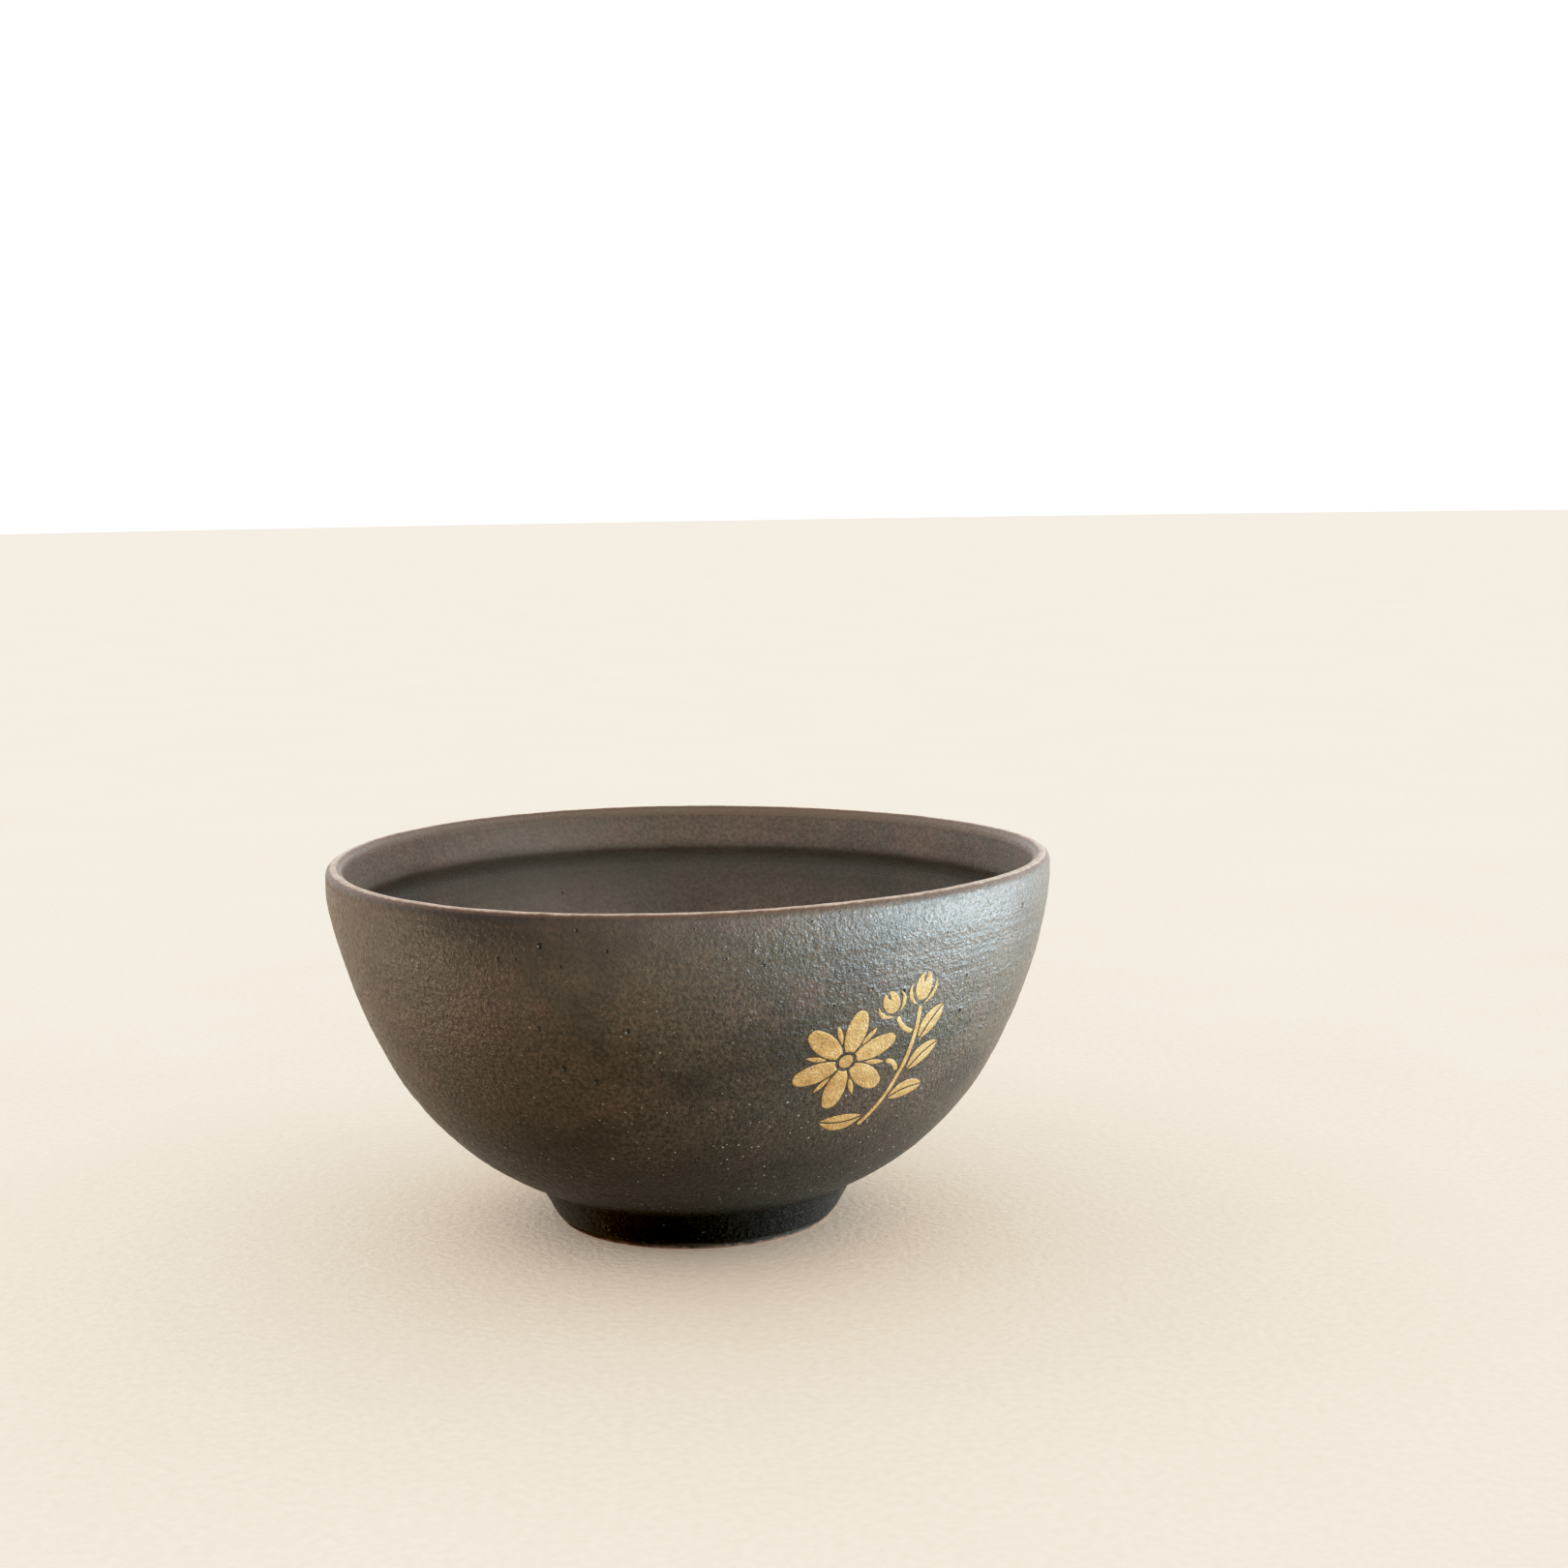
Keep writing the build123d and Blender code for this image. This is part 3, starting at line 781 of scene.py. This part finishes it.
def inner_coat_material():
    """Matt inside: softer lines, a red edge below the lip's band and painted shade in and under the
    groove.
    """
    s = Shader("inner_coat_fired")
    along, place = s.along()
    color, grain = coat_color(s, INSIDE_BROWN, INSIDE_GREEN, INSIDE_RED, 0.32, 0.15)
    # Painted highlight: a soft pale patch on the inside wall.
    pale = patch(s, HIGHLIGHT_PLACE, HIGHLIGHT_REACH)
    color = s.mix(s.math("MULTIPLY", pale, HIGHLIGHT_SHARE), color, INSIDE_PAINTED_HIGHLIGHT)
    pits, rims = craters(s, 5.0, 0.24, 0.25, 0.23)
    # Painted shade in the pits: they are drawn near black.
    color = s.mix(s.math("MULTIPLY", pits, 0.8), color, COAT_BLACK)
    ragged = s.total((1.0, along), (-0.9, s.noise(1.3, 3.0)), (-0.5, s.noise(0.4, 2.0)))
    thin = s.ramp(ragged, BAND_END + 0.2, BAND_END - 1.0, 0.0, 0.3)
    color = s.mix(thin, color, LIP_RED)
    # Painted shade under the collar: darkest at the groove, fading about 14 mm below it.
    below = s.total((1.0, along), (2.0, s.noise(6.0, 3.0)))
    groove = s.math("MULTIPLY", s.ramp(below, GROOVE_START - 0.8, GROOVE_START + 2.0),
                    s.ramp(below, GROOVE_START + 14.0, GROOVE_START + 3.0))
    color = s.mix(s.math("MULTIPLY", groove, 0.85), color, GROOVE_PAINTED_SHADE)
    lines = s.noise(1.0, 3.0, 0.6, s.scaled((0.03, 0.03, 1.0), place=place), unit=1.0)
    roughness = s.total((0.12, grain), (0.50, 1.0))
    s.bump(s.total((0.085, s.noise(0.7, 2.0, 0.55)), (0.05, s.noise(0.34, 2.0)),
                   (0.06, lines), (-0.08, pits), (0.03, rims)))
    return s.finish(color, roughness, ior=1.38)


def lip_material():
    """The worn lip: tan where the coat is thinnest, a red-brown line, then the coat again."""
    s = Shader("lip_fired")
    along, _ = s.along()
    past_crest = s.math("SUBTRACT", along, LIP_CREST)
    off_crest = s.math("ABSOLUTE", past_crest)
    ragged = s.total((1.0, off_crest), (0.45, s.noise(1.6, 3.0)), (0.25, s.noise(0.5, 2.0)))
    color, grain = outer_color(s, along)
    inside = s.ramp(past_crest, 0.0, LIP_RADIUS)
    color = s.mix(s.math("MULTIPLY", inside, 0.9), color, INSIDE_BROWN)
    color = s.mix(s.ramp(ragged, 1.7, 1.2, 0.0, 0.7), color, LIP_RED)
    worn = s.ramp(s.noise(3.0, 4.0, 0.6), 0.40, 0.66)
    tan = s.mix(s.math("MULTIPLY", worn, 0.4), LIP_TAN, LIP_RED)
    tan = s.mix(s.math("MULTIPLY", grain, 0.25), tan, LIP_RED)
    color = s.mix(s.ramp(ragged, 1.05, 0.7), color, tan)
    rough_side = s.ramp(off_crest, 0.8, 2.0, 0.5, 1.0)
    height = s.total((0.17, s.noise(0.85, 2.0, 0.55)), (0.11, s.noise(0.36, 2.0)))
    s.bump(s.math("MULTIPLY", height, rough_side))
    return s.finish(color, s.total((0.12, grain), (0.10, s.noise(5.0)), (0.38, 1.0)), ior=1.33)


def clay_material():
    """Bare dark stoneware: sandy, dry, with small pale grains of grog and small holes darkened with
    painted shade.
    """
    s = Shader("bare_clay")
    apart = s.add("ShaderNodeSeparateXYZ")
    s.feed(apart.inputs[0], s.place)
    tone = s.ramp(s.noise(6.0, 4.0, 0.6), 0.35, 0.68)
    color = s.mix(tone, CLAY_DARK, CLAY_LIGHT)
    grog = s.spots(1.3, 0.16, 0.30, 0.5, 0.4)
    holes = s.spots(1.9, 0.20, 0.25, 0.5, 0.6)
    color = s.mix(s.math("MULTIPLY", grog, 0.5), color, CLAY_GROG)
    # Painted shade in the holes.
    color = s.mix(s.math("MULTIPLY", holes, 0.8), color, CLAY_HOLE_SHADE)
    # The lowest millimetre of the clay goes reddish.
    edge_height = s.total((1.0, apart.outputs[2]), (0.0012, s.noise(2.0, 3.0)))
    color = s.mix(s.ramp(edge_height, 0.0012, 0.0006), color, CLAY_EDGE)
    s.bump(s.total((0.12, s.noise(0.5, 3.0, 0.6)), (0.04, grog), (-0.1, holes)))
    s.body.inputs["Specular IOR Level"].default_value = 0.15
    return s.finish(color, s.total((0.15, tone), (0.70, 1.0)))


def gold_material():
    """Matt fired gold: a granular film that thins out to the dark coat between its grains."""
    s = Shader("fired_gold")
    tone = s.ramp(s.noise(1.6, 3.0, 0.6), 0.35, 0.65)
    color = s.mix(tone, GOLD_DEEP, GOLD_PALE)
    grain = s.ramp(s.noise(0.32, 2.0, 0.6), 0.38, 0.66)
    gaps = s.ramp(s.noise(0.36, 3.0, 0.65, s.scaled((1, 1, 1), (0.5, 0.2, 0.3))), 0.56, 0.68)
    color = s.mix(s.math("MULTIPLY", grain, 0.7), color, GOLD_SHADE)
    color = s.mix(s.math("MULTIPLY", gaps, 0.85), color, COAT_BROWN)
    metal = s.ramp(gaps, 0.2, 0.9, 0.45, 0.1)
    s.bump(s.total((0.12, s.noise(0.4, 3.0, 0.6)), (-0.03, gaps)))
    return s.finish(color, s.total((0.12, grain), (0.50, 1.0)), metal)


def floor_material():
    """Pale plain floor with a faint grain."""
    s = Shader("pale_floor")
    tone = s.ramp(s.noise(60.0, 4.0, 0.5), 0.3, 0.7)
    fine = s.ramp(s.noise(1.5, 3.0, 0.55), 0.35, 0.7)
    color = s.mix(tone, FLOOR_PALE, FLOOR_WARM)
    color = s.mix(s.math("MULTIPLY", fine, 0.32), color, FLOOR_GRAIN)
    s.bump(s.total((0.20, s.noise(1.2, 2.0, 0.5))))
    s.body.inputs["Specular IOR Level"].default_value = 0.08
    return s.finish(color, 1.0)


# ---- Stage ----
FLOOR_RADIUS = 6000.0
SKY_FRONT = (1.62, 1.56, 1.48)
SKY_BACK = (2.15, 2.15, 2.12)
SKY_TOP = (0.50, 0.50, 0.49)
# Each zone of the sky: axis it is measured on, where it starts and is full, and its colour.
SKY_ZONES = [
    (1, -0.7, 0.7, SKY_BACK),
    (2, 0.5, 0.95, SKY_TOP),
    (2, -0.05, -0.10, (0.0, 0.0, 0.0)),
]
# Soft boxes: azimuth and elevation in degrees, width and height in metres, radiance, colour.
LIGHTS = {
    "window": (-12, -7, (2.7, 0.62), 42.0, (0.60, 0.84, 1.0)),
    "left_bounce": (177, -20, (1.4, 0.5), 6.4, (1.0, 0.86, 0.66)),
    "right_bounce": (8, -26, (2.0, 0.6), 2.2, (1.0, 0.84, 0.66)),
}
LIGHT_DISTANCE = 2.0          # metres
BLACK_POINT = 0.017           # light of the picture's black
WHITE_POINT = 1.6             # and of its white
TONE_CURVE = [(0.0, 0.0), (0.06, 0.088), (0.22, 0.36), (0.45, 0.72), (0.63, 0.87), (1.0, 1.0)]


def add_floor():
    """A plain round floor, too wide for its edge to show."""
    columns = 96
    angle = angles(columns)
    ring = FLOOR_RADIUS * np.stack((np.cos(angle), np.sin(angle), np.zeros(columns)), 1)
    data = bpy.data.meshes.new("floor")
    data.from_pydata((ring * MM).tolist(), [], [tuple(range(columns))])
    data.materials.append(floor_material())
    floor = bpy.data.objects.new("floor", data)
    bpy.context.scene.collection.objects.link(floor)
    floor.visible_shadow = False  # the soft boxes reach lower than the floor
    return floor


def add_sky():
    """A soft dome, brightest behind the bowl and near the horizon, with nothing under the floor."""
    world = bpy.data.worlds.new("sky")
    bpy.context.scene.world = world
    world.use_nodes = True
    tree = world.node_tree
    background = tree.nodes["Background"]
    place = tree.nodes.new("ShaderNodeTexCoord")
    apart = tree.nodes.new("ShaderNodeSeparateXYZ")
    tree.links.new(place.outputs["Generated"], apart.inputs[0])
    color = (*SKY_FRONT, 1.0)
    for axis, low, high, far in SKY_ZONES:
        share = tree.nodes.new("ShaderNodeMapRange")
        share.interpolation_type = "SMOOTHSTEP"
        share.inputs["From Min"].default_value = low
        share.inputs["From Max"].default_value = high
        tree.links.new(apart.outputs[axis], share.inputs["Value"])
        mix = tree.nodes.new("ShaderNodeMix")
        mix.data_type = "RGBA"
        tree.links.new(share.outputs[0], mix.inputs[0])
        if isinstance(color, tuple):
            mix.inputs[6].default_value = color
        else:
            tree.links.new(color, mix.inputs[6])
        mix.inputs[7].default_value = (*far, 1.0)
        color = mix.outputs[2]
    tree.links.new(color, background.inputs["Color"])


def add_light(name, azimuth, elevation, size, radiance, color):
    """A soft box that looks at the bowl and isn't seen itself. Azimuth 0 is +X."""
    data = bpy.data.lights.new(name, "AREA")
    data.shape = "RECTANGLE"
    data.size, data.size_y = size
    data.energy = radiance * pi * size[0] * size[1]
    data.cycles.use_multiple_importance_sampling = False
    data.color = color
    light = bpy.data.objects.new(name, data)
    a, e = radians(azimuth), radians(elevation)
    target = Vector((0, 0, HEIGHT * MM / 2))
    aside = Vector((cos(a) * cos(e), sin(a) * cos(e), sin(e)))
    light.location = target + LIGHT_DISTANCE * aside
    light.rotation_euler = (light.location - target).to_track_quat("Z", "Y").to_euler()
    light.visible_camera = False
    bpy.context.scene.collection.objects.link(light)
    return light


def keep_off(light, thing):
    """Stops a light from lighting one object, so it leaves no bright patch there."""
    unlit = bpy.data.collections.new("unlit_by_" + light.name)
    unlit.objects.link(thing)
    light.light_linking.receiver_collection = unlit
    unlit.collection_objects[0].light_linking.link_state = "EXCLUDE"


def set_tone():
    """The picture's contrast: black and white points and a curve between them."""
    view = bpy.context.scene.view_settings
    view.view_transform = "Standard"
    view.use_curve_mapping = True
    view.curve_mapping.black_level = (BLACK_POINT,) * 3
    view.curve_mapping.white_level = (WHITE_POINT,) * 3
    points = view.curve_mapping.curves[3].points
    for dark, shown in TONE_CURVE[1:-1]:
        points.new(dark, shown)
    view.curve_mapping.update()


# ---- Building ----
add_camera()
floor = add_floor()
add_sky()
lights = {name: add_light(name, *settings) for name, settings in LIGHTS.items()}
keep_off(lights["window"], floor)
set_tone()

dress(make_clay_body(), "clay_body", clay_material())
dress(make_foot_ring(), "foot_ring", bpy.data.materials["bare_clay"])
outer = coat("outer_coat_skin", FOOT_BARE_SIDE, BAND_START, rows=224, back_rows=12, columns=400,
             edge_wave=0.3)
dress(outer, "outer_coat", outer_coat_material())
inner = coat("inner_coat_skin", BAND_END, FLOOR_CENTRE, rows=200, back_rows=20, columns=360)
dress(inner, "inner_coat", inner_coat_material())
lip = coat("lip_band_skin", BAND_START, BAND_END, rows=26, back_rows=8, columns=400)
dress(lip, "lip_band", lip_material())
axes = spray_axes()
gold = gold_material()
for node in sorted(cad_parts):
    if node.startswith("gold_"):
        dress(make_gold_island(node, axes), node, gold)
